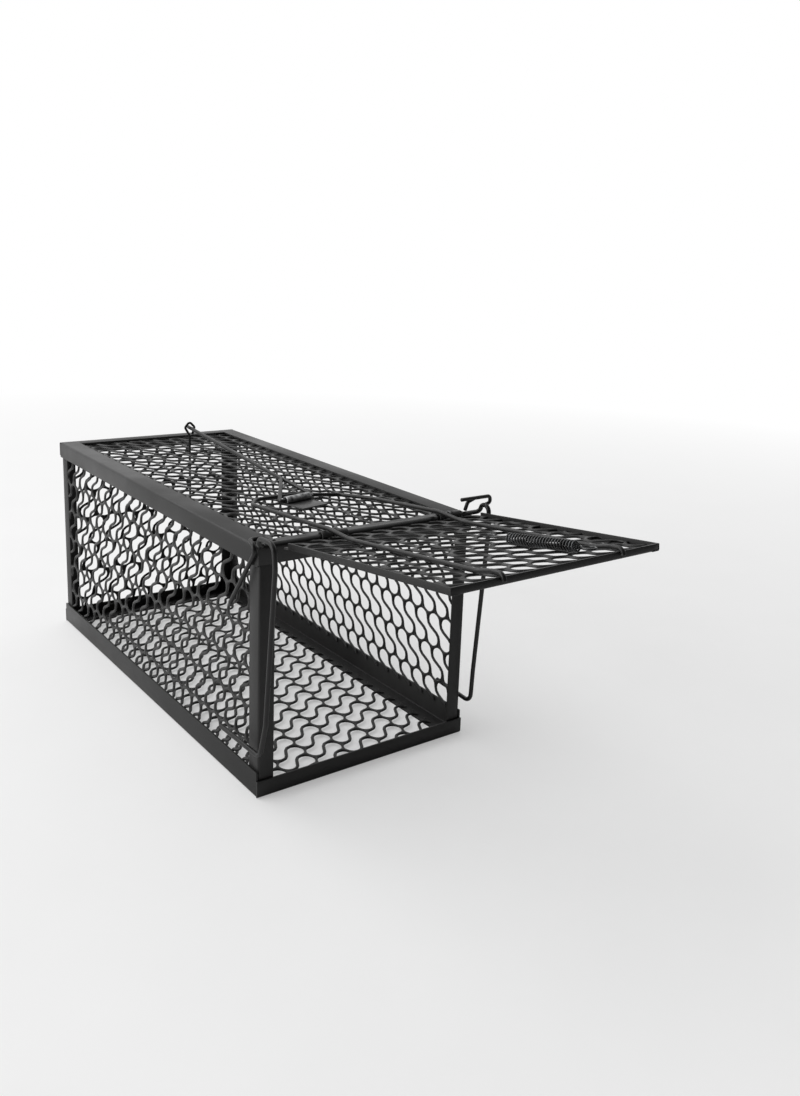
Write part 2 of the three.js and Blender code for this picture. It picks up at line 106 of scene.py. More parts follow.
class Paint:
    def __init__(self, name):
        self.material = bpy.data.materials.new(name)
        self.material.use_nodes = True
        self.tree = self.material.node_tree
        self.shader = self.tree.nodes["Principled BSDF"]
        self.place = self.node("ShaderNodeTexCoord").outputs["Object"]

    def node(self, kind, settings=None, inputs=None):
        made = self.tree.nodes.new(kind)
        for key, value in (settings or {}).items():
            setattr(made, key, value)
        for key, value in (inputs or {}).items():
            self.fill(made.inputs[key], value)
        return made

    def fill(self, socket, value):
        if isinstance(value, Amount):
            self.tree.links.new(value.socket, socket)
        elif isinstance(value, bpy.types.NodeSocket):
            self.tree.links.new(value, socket)
        else:
            socket.default_value = value

    def number(self, kind, settings=None, inputs=None, output=0):
        return Amount(self, self.node(kind, settings, inputs).outputs[output])

    def noise(self, size, detail=2.0, stretch=(1, 1, 1), shift=0.0):
        moved = self.node("ShaderNodeMapping", {}, {
            "Vector": self.place, "Scale": stretch, "Location": (shift, shift, shift)})
        return self.number("ShaderNodeTexNoise", {}, {
            "Vector": moved.outputs[0], "Scale": 1 / (size * mm), "Detail": detail})

    def between(self, value, low, high):
        return self.number("ShaderNodeMapRange", {}, {
            "Value": value, "From Min": low, "From Max": high})

    def blend(self, share, low, high):
        mixed = self.node("ShaderNodeMix", {"data_type": "RGBA"}, {0: share, 6: low, 7: high})
        return mixed.outputs[2]

    def edges(self, reach):
        # 1 along a sharp edge and 0 on a flat face.
        rounded = self.node("ShaderNodeBevel", {"samples": 6}, {"Radius": reach * mm})
        flat = self.node("ShaderNodeNewGeometry").outputs["Normal"]
        level = self.number("ShaderNodeVectorMath", {"operation": "DOT_PRODUCT"}, {
            0: rounded.outputs[0], 1: flat}, "Value")
        return self.between(1 - level, 0.02, 0.2)

    def bump(self, height, depth):
        made = self.node("ShaderNodeBump", {}, {
            "Height": height, "Distance": depth * mm, "Strength": 1.0})
        return made.outputs[0]

    def finish(self, **sockets):
        for name, value in sockets.items():
            self.fill(self.shader.inputs[name.replace("_", " ")], value)
        return self.material


def tone(value, warmth=0.0):
    return (value * (1 + warmth), value, value * (1 - warmth), 1)


# Sharp edges are painted a lighter grey: partly light wear of a thin coat, partly a painted
# highlight.
coat = {
    "black": 0.008, "dust": 0.019, "glintAndWearTone": 0.06, "ior": 1.4,
    "patchSize": 38, "streakSize": 9, "peelSize": 1.3, "peelDepth": 0.03, "nibSize": 0.35,
    "smooth": 0.34, "rough": 0.5, "edgeReach": 0.45, "edgeBreakupSize": 4.5, "edgeShow": 0.55,
}


def coatedSteel(name, look, edgeWearAndGlint=True):
    paint = Paint(name)
    patches = paint.between(paint.noise(look["patchSize"], 3), 0.35, 0.68)
    peel = paint.noise(look["peelSize"], 1.5)
    nibs = paint.noise(look["nibSize"], 1)
    streaks = paint.noise(look["streakSize"], 3, (1, 1, 0.25), 0.3)
    colour = paint.blend(patches * 0.7 + streaks * 0.3,
                         tone(look["black"]), tone(look["dust"], 0.02))
    gloss = patches * (look["rough"] - look["smooth"]) + look["smooth"] + nibs * 0.08
    # Lighter grey painted along sharp edges: a little edge wear and a painted highlight.
    if edgeWearAndGlint:
        breakup = paint.between(paint.noise(look["edgeBreakupSize"], 4, shift=0.7), 0.38, 0.7)
        wearAndGlint = paint.edges(look["edgeReach"]) * breakup * look["edgeShow"]
        colour = paint.blend(wearAndGlint, colour, tone(look["glintAndWearTone"]))
        gloss = gloss - wearAndGlint * 0.1
    height = peel * 0.8 + nibs * 0.2
    return paint.finish(Base_Color=colour, Roughness=gloss, IOR=look["ior"],
                        Normal=paint.bump(height, look["peelDepth"]))


angleCoat = coatedSteel("angleCoat", coat)
meshCoat = coatedSteel("meshCoat", {
    **coat, "black": 0.006, "dust": 0.013, "peelSize": 0.8, "peelDepth": 0.02,
    "smooth": 0.28, "rough": 0.42}, False)
doorCoat = coatedSteel("doorCoat", {**coat, "black": 0.006, "dust": 0.013, "edgeReach": 0.3})
# The hinge strip's coat is painted a lighter grey all over, with lighter edges still.
hingeCoat = coatedSteel("hingeCoat", {
    **coat, "black": 0.02, "dust": 0.06, "glintAndWearTone": 0.12, "edgeReach": 0.3, "smooth": 0.26})
wireCoat = coatedSteel("wireCoat", {
    **coat, "black": 0.005, "dust": 0.01, "patchSize": 16, "peelSize": 0.7,
    "peelDepth": 0.012, "smooth": 0.24, "rough": 0.38}, False)


def springSteel():
    paint = Paint("springSteel")
    film = paint.between(paint.noise(6, 4), 0.3, 0.7)
    scratches = paint.noise(0.5, 2, (1, 0.1, 1))
    colour = paint.blend(film, tone(0.035, 0.02), tone(0.1, -0.03))
    return paint.finish(Base_Color=colour, Metallic=0.85, Roughness=film * 0.16 + 0.26,
                        Normal=paint.bump(scratches, 0.01))


def plateSteel():
    paint = Paint("plateSteel")
    # The mask paints bright bare metal on the top of the rolled hem: partly rubbed coat, partly
    # a painted highlight.
    rubAndGlint = paint.number("ShaderNodeAttribute", {"attribute_name": "rubAndGlint"}, {}, "Fac")
    breakup = paint.between(paint.noise(2.2, 4), 0.3, 0.62)
    bareAndGlint = rubAndGlint * breakup
    patches = paint.between(paint.noise(7, 3), 0.35, 0.7)
    colour = paint.blend(patches, tone(0.03), tone(0.06))
    colour = paint.blend(bareAndGlint, colour, tone(0.46, -0.01))
    return paint.finish(Base_Color=colour, Metallic=bareAndGlint * 0.9,
                        Roughness=patches * 0.1 + 0.34 - bareAndGlint * 0.06,
                        Normal=paint.bump(paint.noise(0.9, 2), 0.02))


springCoat = springSteel()
plateCoat = plateSteel()
print("finishes made")


class Recipe:
    def __init__(self, name, **sizes):
        self.tree = bpy.data.node_groups.new(name, "GeometryNodeTree")
        self.tree.is_modifier = True
        self.names = {}
        face = self.tree.interface
        face.new_socket("Geometry", in_out="OUTPUT", socket_type="NodeSocketGeometry")
        face.new_socket("Geometry", in_out="INPUT", socket_type="NodeSocketGeometry")
        for size, kind in sizes.items():
            made = face.new_socket(size, in_out="INPUT", socket_type="NodeSocket" + kind)
            self.names[size] = made.identifier
        self.given = self.tree.nodes.new("NodeGroupInput").outputs
        self.result = self.tree.nodes.new("NodeGroupOutput").inputs[0]

    def node(self, kind, settings=None, inputs=None, output=0):
        made = self.tree.nodes.new(kind)
        for key, value in (settings or {}).items():
            setattr(made, key, value)
        for key, value in (inputs or {}).items():
            if isinstance(value, bpy.types.NodeSocket):
                self.tree.links.new(value, made.inputs[key])
            else:
                made.inputs[key].default_value = value
        return made.outputs[output]

    def maths(self, operation, first, second):
        return self.node("ShaderNodeMath", {"operation": operation}, {0: first, 1: second})

    def close(self, shape):
        real = self.node("GeometryNodeRealizeInstances", {}, {0: shape})
        painted = self.node("GeometryNodeSetMaterial", {}, {
            "Geometry": real, "Material": self.given["material"]})
        self.tree.links.new(painted, self.result)

    def bake(self, name, start, **values):
        maker = bpy.data.objects.new(name + "Maker", start)
        scene.collection.objects.link(maker)
        step = maker.modifiers.new("recipe", "NODES")
        step.node_group = self.tree
        for size, value in values.items():
            step[self.names[size]] = value
        bpy.context.view_layer.update()
        ready = maker.evaluated_get(bpy.context.evaluated_depsgraph_get())
        mesh = bpy.data.meshes.new_from_object(ready)
        mesh.name = name
        maker.modifiers.remove(step)
        bpy.data.objects.remove(maker)
        return mesh


def meshRecipe():
    # Cells stand in bands: each band is a row of cells, and the next band is shifted along.
    tree = Recipe("pressedMesh", cell="Object", bands="Int", cells="Int", bandPitch="Float",
                  cellPitch="Float", bandShift="Float", startBand="Float", startCell="Float",
                  roundness="Int", material="Material")
    given = tree.given
    bandsWide = tree.maths("MULTIPLY", given["bandPitch"],
                           tree.maths("SUBTRACT", given["bands"], 1.0))
    cellsLong = tree.maths("MULTIPLY", given["cellPitch"],
                           tree.maths("SUBTRACT", given["cells"], 1.0))
    grid = tree.node("GeometryNodeMeshGrid", {}, {
        "Size X": bandsWide, "Size Y": cellsLong,
        "Vertices X": given["bands"], "Vertices Y": given["cells"]})
    where = tree.node("ShaderNodeSeparateXYZ", {}, {0: tree.node("GeometryNodeInputPosition")})
    across = where
    along = where.node.outputs[1]
    band = tree.maths("ROUND", tree.maths("DIVIDE", across, given["bandPitch"]), 0.0)
    slide = tree.maths("MULTIPLY", band, given["bandShift"])
    turns = tree.maths("FLOOR", tree.maths("DIVIDE", slide, given["cellPitch"]), 0.0)
    slide = tree.maths("SUBTRACT", slide, tree.maths("MULTIPLY", turns, given["cellPitch"]))
    moved = tree.node("ShaderNodeCombineXYZ", {}, {
        0: tree.maths("ADD", across, given["startBand"]),
        1: tree.maths("ADD", tree.maths("ADD", along, slide), given["startCell"])})
    points = tree.node("GeometryNodeSetPosition", {}, {"Geometry": grid, "Position": moved})
    cell = tree.node("GeometryNodeObjectInfo", {}, {"Object": given["cell"]}, "Geometry")
    copies = tree.node("GeometryNodeInstanceOnPoints", {}, {"Points": points, "Instance": cell})
    real = tree.node("GeometryNodeRealizeInstances", {}, {0: copies})
    joined = tree.node("GeometryNodeMergeByDistance", {}, {
        "Geometry": real, "Distance": 0.05 * mm})
    smooth = tree.node("GeometryNodeSubdivisionSurface", {}, {
        "Mesh": joined, "Level": given["roundness"]})
    tree.close(tree.node("GeometryNodeSetShadeSmooth", {}, {0: smooth}))
    return tree


def wireRecipe():
    # A run of points is filleted at its corners and swept with a round section.
    tree = Recipe("bentWire", radius="Float", bend="Float", bendSteps="Int", sides="Int",
                  material="Material")
    given = tree.given
    path = tree.node("GeometryNodeMeshToCurve", {}, {"Mesh": given["Geometry"]})
    bent = tree.node("GeometryNodeFilletCurve", {"mode": "POLY"}, {
        "Curve": path, "Radius": given["bend"], "Count": given["bendSteps"],
        "Limit Radius": True})
    slim = tree.node("GeometryNodeInputNamedAttribute", {"data_type": "FLOAT"}, {
        "Name": "slim"})
    shaped = tree.node("GeometryNodeSetCurveRadius", {}, {
        "Curve": bent, "Radius": tree.maths("SUBTRACT", 1.0, slim)})
    ring = tree.node("GeometryNodeCurvePrimitiveCircle", {}, {
        "Resolution": given["sides"], "Radius": given["radius"]})
    swept = tree.node("GeometryNodeCurveToMesh", {}, {
        "Curve": shaped, "Profile Curve": ring, "Fill Caps": True,
        "Scale": tree.node("GeometryNodeInputRadius")})
    tree.close(tree.node("GeometryNodeSetShadeSmooth", {}, {0: swept}))
    return tree


pressedMesh = meshRecipe()
bentWire = wireRecipe()
print("recipes made")


def sharpen(mesh, angle=38):
    for polygon in mesh.polygons:
        polygon.use_smooth = True
    mesh.set_sharp_from_angle(angle=math.radians(angle))


def faceOutwards(mesh):
    shape = bmesh.new()
    shape.from_mesh(mesh)
    bmesh.ops.recalc_face_normals(shape, faces=shape.faces)
    shape.to_mesh(mesh)
    shape.free()


def keepPiece(name, mesh, body, node):
    piece = bpy.data.objects.new(name, mesh)
    scene.collection.objects.link(piece)
    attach(piece, body)
    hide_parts(node)


def lineMesh(name, points):
    # The ends are drawn in a little, so that a cut wire has a softened rim.
    first = points[0].lerp(points[1], 0.25 * mm / (points[1] - points[0]).length)
    last = points[-1].lerp(points[-2], 0.25 * mm / (points[-2] - points[-1]).length)
    points = [points[0], first, *points[1:-1], last, points[-1]]
    mesh = bpy.data.meshes.new(name)
    mesh.from_pydata(points, [(i, i + 1) for i in range(len(points) - 1)], [])
    slim = mesh.attributes.new("slim", "FLOAT", "POINT")
    slim.data[0].value = 0.3
    slim.data[len(points) - 1].value = 0.3
    return mesh


def wire(name, points, size, material, bend=4.0, bendSteps=6, sides=14):
    return bentWire.bake(name, lineMesh(name, points), radius=size * mm, bend=bend * mm,
                         bendSteps=bendSteps, sides=sides, material=material)


def joinMeshes(name, meshes):
    whole = bmesh.new()
    for mesh in meshes:
        whole.from_mesh(mesh)
    joined = bpy.data.meshes.new(name)
    joined.materials.append(meshes[0].materials[0])
    whole.to_mesh(joined)
    whole.free()
    sharpen(joined, 50)
    return joined


def foldedSheet(name, line, stations, place, thickness, material, keep=None, rim=0.12):
    # A bent line of a sheet's section is drawn out over the stations, then given its wall.
    shape = bmesh.new()
    grid = [[shape.verts.new(place(station, *point)) for point in line]
            for station in stations]
    for i in range(len(stations) - 1):
        for j in range(len(line) - 1):
            if keep is None or keep(i, j):
                corners = (grid[i][j], grid[i][j + 1], grid[i + 1][j + 1], grid[i + 1][j])
                shape.faces.new(corners)
    bmesh.ops.delete(shape, geom=[v for v in shape.verts if not v.link_faces],
                     context="VERTS")
    mesh = bpy.data.meshes.new(name + "Face")
    shape.to_mesh(mesh)
    shape.free()
    maker = bpy.data.objects.new(name + "Maker", mesh)
    scene.collection.objects.link(maker)
    wall = maker.modifiers.new("wall", "SOLIDIFY")
    wall.thickness = thickness * mm
    wall.offset = 0
    wall.use_even_offset = True
    soften = maker.modifiers.new("rim", "BEVEL")
    soften.width = rim * mm
    soften.segments = 2
    soften.limit_method = "ANGLE"
    soften.angle_limit = math.radians(50)
    bpy.context.view_layer.update()
    ready = maker.evaluated_get(bpy.context.evaluated_depsgraph_get())
    made = bpy.data.meshes.new_from_object(ready)
    made.name = name
    bpy.data.objects.remove(maker)
    bpy.data.meshes.remove(mesh)
    faceOutwards(made)
    made.materials.clear()
    made.materials.append(material)
    sharpen(made)
    return made


def arc(centre, radius, start, end, steps):
    points = []
    for i in range(steps + 1):
        angle = math.radians(start + (end - start) * i / steps)
        points.append((centre[0] + radius * math.cos(angle),
                       centre[1] + radius * math.sin(angle)))
    return points


def width(name):
    low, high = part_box(name)
    return (high.x - low.x) / mm


angles = {
    "sheet": 1.0, "foldRadius": 1.3, "foldSteps": 5, "rim": 0.15,
    # A cross rail's flat leg ends at the long rails' flat legs, at the top and the bottom.
    "crossStop": {1: width("top_left_rail"), -1: width("bottom_left_rail")},
    # Which corner of its box each fold runs along: 0 is the long direction.
    "folds": {
        "top_left_rail": (-1, 0, 1), "top_right_rail": (1, 0, 1),
        "bottom_left_rail": (-1, 0, -1), "bottom_right_rail": (1, 0, -1),
        "front_left_post": (-1, -1, 0), "front_right_post": (1, -1, 0),
        "rear_left_post": (-1, 1, 0), "rear_right_post": (1, 1, 0),
        "front_top_rail": (0, -1, 1), "front_bottom_rail": (0, -1, -1),
        "rear_top_rail": (0, 1, 1), "rear_bottom_rail": (0, 1, -1),
    },
}


def sheetAngle(name, fold):
    low, high = (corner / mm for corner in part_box(name))
    axis = fold.index(0)
    across, up = [i for i in range(3) if i != axis]
    wall = angles["sheet"] / 2
    radius = angles["foldRadius"] - wall
    legs = [high[i] - low[i] for i in (across, up)]
    middle = wall + radius
    line = [(wall, legs[1]), *arc((middle, middle), radius, 180, 270, angles["foldSteps"]),
            (legs[0], wall)]
    corner = [high[i] if fold[i] > 0 else low[i] for i in (across, up)]

    def place(station, s, t):
        point = Vector((0, 0, 0))
        point[axis] = station
        point[across] = corner[0] - fold[across] * s
        point[up] = corner[1] - fold[up] * t
        return point * mm

    short = angles["crossStop"][fold[2]] if axis == 0 else 0
    stations = [low[axis], high[axis]]
    if short:
        stations = [low[axis], low[axis] + short, high[axis] - short, high[axis]]
    flatStart = len(line) - 3

    def keep(i, j):
        return not short or i == 1 or j < flatStart

    return foldedSheet(name, line, stations, place, angles["sheet"], angleCoat, keep,
                       angles["rim"])


for angleName, fold in angles["folds"].items():
    angleMesh = sheetAngle(angleName, fold)
    keepPiece(angleName + "_folded", angleMesh, "cage", angleName)
print("sheet angles folded")


weave = {
    "cellPitch": 10.45, "bandPitch": 17.4, "strandReach": 4.85, "zigzag": 1.1,
    "bendAcross": 2.2, "bendAlong": 5.1, "strandHalf": 1.28, "strandThick": 0.9,
    "roundness": 1,
}


def meshCell(pattern):
    # One opening with half of every strand round it. x crosses the band, y runs along it.
    half = pattern["cellPitch"] / 2
    reach = pattern["strandReach"]
    edge = pattern["bandPitch"] / 2
    near = edge - pattern["zigzag"]
    far = edge + pattern["zigzag"]
    sideX = pattern["bendAcross"]
    sideY = pattern["bendAlong"]
    upper = [
        ((0, -half), 1.0),
        ((sideX, sideY - half), 1.05),
        ((near, reach - half), 1.25),
        ((edge, reach - half / 2), 0.6),
        ((far, reach), 0.92),
        ((edge, reach + half / 2), 0.72),
        ((near, reach + half), 1.7),
        ((sideX, sideY + half), 1.08),
    ]
    outline = [(Vector(point), share) for point, share in upper]
    outline += [(-Vector(point), share) for point, share in upper]
    count = len(outline)
    cell = bmesh.new()
    top, rim, low = [], [], []
    for i, (point, share) in enumerate(outline):
        before = (point - outline[i - 1][0]).normalized()
        after = (outline[(i + 1) % count][0] - point).normalized()
        along = (before + after).normalized()
        inward = Vector((-along.y, along.x))
        hole = point + inward * pattern["strandHalf"] * share
        thick = pattern["strandThick"]
        top.append(cell.verts.new((point.x * mm, point.y * mm, thick * mm)))
        rim.append(cell.verts.new((hole.x * mm, hole.y * mm, 0)))
        low.append(cell.verts.new((point.x * mm, point.y * mm, -thick * mm)))
    for i in range(count):
        j = (i + 1) % count
        cell.faces.new((top[i], top[j], rim[j], rim[i]))
        cell.faces.new((rim[i], rim[j], low[j], low[i]))
    mesh = bpy.data.meshes.new("meshCell")
    cell.to_mesh(mesh)
    cell.free()
    maker = bpy.data.objects.new("meshCell", mesh)
    scene.collection.objects.link(maker)
    return maker


def trimmedSheet(mesh, halfWide, halfLong):
    # Cuts the sheet to its outline and closes every cut strand.
    cloth = bmesh.new()
    cloth.from_mesh(mesh)
    for normal, reach in (((1, 0, 0), halfWide), ((-1, 0, 0), halfWide),
                          ((0, 1, 0), halfLong), ((0, -1, 0), halfLong)):
        side = Vector(normal)
        geometry = cloth.verts[:] + cloth.edges[:] + cloth.faces[:]
        cut = bmesh.ops.bisect_plane(cloth, geom=geometry, plane_co=side * reach,
                                     plane_no=side, clear_outer=True)
        edges = [e for e in cut["geom_cut"] if isinstance(e, bmesh.types.BMEdge)]
        bmesh.ops.holes_fill(cloth, edges=[e for e in edges if e.is_boundary], sides=0)
    loose = [v for v in cloth.verts if not v.link_faces]
    bmesh.ops.delete(cloth, geom=loose, context="VERTS")
    bmesh.ops.recalc_face_normals(cloth, faces=cloth.faces)
    cloth.to_mesh(mesh)
    cloth.free()


def meshPanel(name, body, wide, long, place, startBand, startCell):
    # place takes a point in mm: across the bands, along them and off the sheet.
    cell = meshCell(weave)
    shift = 2 * weave["strandReach"] - weave["cellPitch"] / 2
    bands = 2 * math.ceil(wide / 2 / weave["bandPitch"]) + 3
    cells = 2 * math.ceil(long / 2 / weave["cellPitch"]) + 5
    mesh = pressedMesh.bake(
        name, bpy.data.meshes.new(name + "Start"), cell=cell, bands=bands, cells=cells,
        bandPitch=weave["bandPitch"] * mm, cellPitch=weave["cellPitch"] * mm,
        bandShift=shift * mm, startBand=startBand * mm, startCell=startCell * mm,
        roundness=weave["roundness"], material=meshCoat)
    bpy.data.objects.remove(cell)
    trimmedSheet(mesh, wide / 2 * mm, long / 2 * mm)
    for vertex in mesh.vertices:
        vertex.co = place(*(vertex.co / mm))
    faceOutwards(mesh)
    sharpen(mesh, 60)
    keepPiece(name + "_pressed", mesh, body, name)


# The direction that crosses the bands, the one that each band runs in, and the shift of the
# pattern along both.
panels = {
    "left_mesh": {"across": (0, 0, 1), "along": (0, -1, 0), "start": (6.5, 8)},
    "right_mesh": {"across": (0, 0, 1), "along": (0, 1, 0), "start": (6.25, 0)},
    "roof_mesh": {"across": (1, 0, 0), "along": (0, -1, 0), "start": (-1, 3.5)},
    "floor_mesh": {"across": (1, 0, 0), "along": (0, 1, 0), "start": (6.5, 7)},
    "rear_mesh": {"across": (0, 0, 1), "along": (1, 0, 0), "start": (0, 0)},
}


def flatPanel(name, sizes):
    low, high = (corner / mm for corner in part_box(name))
    centre = (low + high) / 2
    across, along = Vector(sizes["across"]), Vector(sizes["along"])
    off = across.cross(along)

    def place(x, y, z):
        return (centre + across * x + along * y + off * z) * mm

    wide = abs((high - low).dot(across))
    long = abs((high - low).dot(along))
    meshPanel(name, "cage", wide, long, place, *sizes["start"])


for panelName, sizes in panels.items():
    flatPanel(panelName, sizes)

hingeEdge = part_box("door_hinge_edge")
door = {
    "left": (hingeEdge[0].x - middleX) / mm, "right": (hingeEdge[1].x - middleX) / mm,
    "long": 114.1, "sheet": 0.8, "edge": 4.0, "flange": 3.0, "strip": 7.0, "hemInner": 1.4,
    "meshStart": (-2.5, 1.5), "meshNear": 3.4, "meshThick": 1.0,
    "clips": (-23, 41), "clipNotch": 3.0, "knuckle": 5.0,
}


def doorPanel():
    near = door["meshNear"]
    far = door["long"] - door["sheet"]
    level = door["meshThick"] / 2 - door["hemInner"]
    middle = (door["left"] + door["right"]) / 2

    def place(x, y, z):
        return onDoor(middle + y, (near + far) / 2 + x, level + z)

    wide = door["right"] - door["left"] - 2 * door["sheet"]
    meshPanel("door_mesh", "door", far - near, wide, place, *door["meshStart"])


doorPanel()
print("mesh panels pressed")


def doorEdges():
    sheet = door["sheet"]
    wall = sheet / 2
    low = -door["hemInner"] - wall
    high = door["flange"] - door["hemInner"] - sheet
    bend = 0.5
    # From the free edge of the leg, round the fold and up the flange.
    section = [(door["edge"], low), (wall + bend, low),
               *[(wall + bend - x, y) for x, y in arc((0, low + bend), bend, -60, 0, 3)],
               (wall, high)]
    for hand, inward in (("left", 1), ("right", -1)):
        def place(station, x, n):
            return onDoor(door[hand] + inward * x, station, n)

        mesh = foldedSheet(f"door_{hand}_edge", section, [door["strip"], door["long"]],
                           place, sheet, doorCoat)
        keepPiece(f"door_{hand}_edge_folded", mesh, "door",
                  f"door_{hand}_edge")
    left, right = door["left"], door["right"]
    stations = [left + sheet, left + door["edge"], right - door["edge"], right - sheet]
    uprightStart = len(section) - 3

    def placeEnd(station, x, n):
        return onDoor(station, door["long"] - x, n)

    mesh = foldedSheet("door_end_edge", section, stations, placeEnd, sheet, doorCoat,
                       lambda i, j: i == 1 or j >= uprightStart)
    keepPiece("door_end_edge_folded", mesh, "door", "door_end_edge")


def doorHem():
    # A flat strip, with rolled knuckles on the rod beside each clip.
    radius = door["hemInner"] + door["sheet"] / 2
    steps = 18
    line = [(door["strip"], -radius), (door["meshNear"], -radius), (1.0, -radius),
            *[(-x, y) for x, y in arc((0, 0), radius, -90, 205, steps)]]
    stations = [door["left"]]
    rolled = []
    for middle in door["clips"]:
        for side in (-1, 1):
            edges = sorted(middle + side * (door["clipNotch"] / 2 + extra)
                           for extra in (0, door["knuckle"]))
            rolled.append(len(stations))
            stations += edges
    stations.append(door["right"])

    def place(station, u, n):
        return onDoor(station, u, n)

    mesh = foldedSheet("door_hinge_edge", line, stations, place, door["sheet"], hingeCoat,
                       lambda i, j: i in rolled or j == 0)
    keepPiece("door_hinge_edge_rolled", mesh, "door", "door_hinge_edge")


doorEdges()
doorHem()
print("door edges folded")


rod = {"radius": 1.1, "forward": 2.8, "rise": 1.6, "armTurn": 2.2}
hingeY = -rod["forward"]
hingeZ = cageTop + rod["rise"]

# Each arm: how far it stands beside the box, how far its crook, knee and heel stand in front
# of the rod, and the reach and height of its foot.
bail = {
    "left": {"beside": 1.7, "crook": 14.5, "knee": 7.6, "heel": 2.6, "foot": 29, "height": 23},
    "right": {"beside": 2.5, "crook": 7.4, "knee": 1.4, "heel": 0.6, "foot": 26,
              "height": 17.4},
    "rise": 4.2, "tailRadius": 0.9, "tailLong": 18,
}
lever = {"radius": 1.0, "left": -27, "right": 33, "reach": 72}
trigger = {
    "radius": 1.0, "plateDepth": 13, "plateWide": 15.5, "plateYaw": math.radians(12),
    "plateX": -4, "plateBack": 11, "sheet": 0.8, "loopOut": 1.7, "apexBack": 15,
    "apexRise": 4.4, "tipRise": 15,
}
bait = {"x": 2, "y": 199.6, "radius": 0.7, "drop": 58, "eyeWide": 3.0, "eyeTall": 3.3}
spring = {
    "radius": 2.0, "wire": 0.45, "turns": 24, "turnSteps": 12,
    "start": (16, 70), "end": (23, 101),
    # Each hook: its place out along the door, its half width and half length, and the start
    # and the step of its turn in half turns.
    "hooks": ((59, 3.0, -3.4, -0.4, 0.125), (106, 2.6, 3.0, 1.1, -0.125)), "hookSteps": 14,
}
anchor = {"wire": 1.0, "loop": 7.7, "tailBack": 23, "tailDrop": 30.6, "tip": 2}
roofTop = cageTop - angles["sheet"]


def armX(side):
    hand = "left" if side < 0 else "right"
    return side * (cageHalf + bail[hand]["beside"])


def hingeRod():
    points = [spot(armX(side) - side * rod["armTurn"], hingeY, hingeZ) for side in (-1, 1)]
    mesh = wire("hinge_rod", points, rod["radius"], wireCoat)
    keepPiece("hinge_rod_wire", mesh, "lock_bail", "hinge_rod")


def bailArms():
    for side, hand in ((-1, "left"), (1, "right")):
        arm = bail[hand]
        x = armX(side)
        points = [
            spot(x - side * rod["armTurn"], hingeY, hingeZ),
            spot(x, hingeY, hingeZ),
            spot(x, hingeY - 1.4, hingeZ + 3.6),
            spot(x, hingeY - arm["crook"] + 1.2, hingeZ + bail["rise"]),
            spot(x, hingeY - arm["crook"], hingeZ - 6),
            spot(x, hingeY - arm["knee"], arm["height"] + 17),
            spot(x, hingeY - arm["heel"], arm["height"]),
            spot(x + side * 1.5, arm["foot"], arm["height"] + 0.8),
        ]
        mesh = wire(f"bail_{hand}_arm", points, rod["radius"], wireCoat, 4.5)
        keepPiece(f"bail_{hand}_arm_wire", mesh, "lock_bail",
                  f"bail_{hand}_arm")


def bailTail():
    size = bail["tailRadius"]
    level = hingeZ + bail["rise"] + rod["radius"] + seatGap + 2 * size
    y = hingeY - 1
    outer = armX(1) + rod["radius"] + 4
    bar = wire("tailBar", [
        spot(outer - bail["tailLong"], y, level),
        spot(outer, y, level),
        spot(outer + 0.4, y, level - 3.4),
        spot(outer - 2.4, y, level - 3.8),
    ], size, wireCoat, 1.6)
    arch = wire("tailArch", [
        spot(outer - 14.5, hingeY, hingeZ + rod["radius"] + 2 * seatGap),
        spot(outer - 13.5, y + 0.4, level - 1.6),
        spot(outer - 9.5, y, level),
    ], size, wireCoat, 2.0)
    mesh = joinMeshes("bail_tail", [bar, arch])
    keepPiece("bail_tail_wire", mesh, "lock_bail", "bail_tail")


def hingeClips():
    size = 0.6
    ring = door["hemInner"] + size
    tail = cageTop + size + seatGap
    for x, hand in zip(door["clips"], ("left", "right")):
        points = []
        for i in range(25):
            angle = math.pi * (0.3 + 1.5 * i / 24)
            points.append(spot(x, hingeY + ring * math.cos(angle),
                               hingeZ + ring * math.sin(angle)))
        points.append(spot(x, 0.4, tail + 0.15))
        points.append(spot(x, 8, tail))
        mesh = wire(f"hinge_clip_{hand}", points, size, springCoat, 1.0, 4, 12)
        keepPiece(f"hinge_clip_{hand}_wire", mesh, "cage",
                  f"hinge_clip_{hand}")


def anchorWire():
    size = anchor["wire"]
    low = cageTop + size + runClear
    inner = -cageHalf + anchor["loop"]
    out = -cageHalf - size - runClear
    back, drop, tip = anchor["tailBack"], anchor["tailDrop"], anchor["tip"]
    points = [
        spot(inner, 0.7, low), spot(inner, 8, low), spot(out + 1, 8, low),
        spot(out, 2.2, low - 0.4), spot(out, 0.9, cageTop - 2.4),
        spot(out, back, cageTop - drop),
        spot(out + angles["sheet"], back + tip, cageTop - drop - tip),
    ]
    mesh = wire("anchor_wire", points, size, wireCoat, 2.8, 6, 12)
    keepPiece("anchor_wire_bent", mesh, "cage", "anchor_wire")


def doorLever():
    size = lever["radius"]
    hemOuter = door["hemInner"] + door["sheet"]
    onMesh = door["meshThick"] - door["hemInner"] + seatGap + size
    overHem = hemOuter + seatGap + size
    overEdge = door["flange"] - hemOuter + seatGap + size
    long = door["long"]
    beyond = long + seatGap + size

    def arm(x):
        return [onDoor(x, beyond, overEdge - 2.6), onDoor(x, beyond, overEdge),
                onDoor(x, long - 5, overEdge), onDoor(x, long - 12, onMesh),
                onDoor(x, 20, onMesh), onDoor(x, 2.5, overHem), onDoor(x, -2, overHem)]

    left, right, reach = lever["left"], lever["right"], lever["reach"]
    level = roofTop + seatGap + size
    points = [
        *arm(left),
        spot(left, reach - 8, level),
        spot(left + 6, reach, level),
        spot(left + 27, reach, level),
        spot(right - 12, reach - 10, level),
        spot(right - 3, reach - 26, level + 0.6),
        *reversed(arm(right)),
    ]
    mesh = wire("door_lever", points, size, wireCoat, 6.0)
    keepPiece("door_lever_wire", mesh, "door", "door_lever")


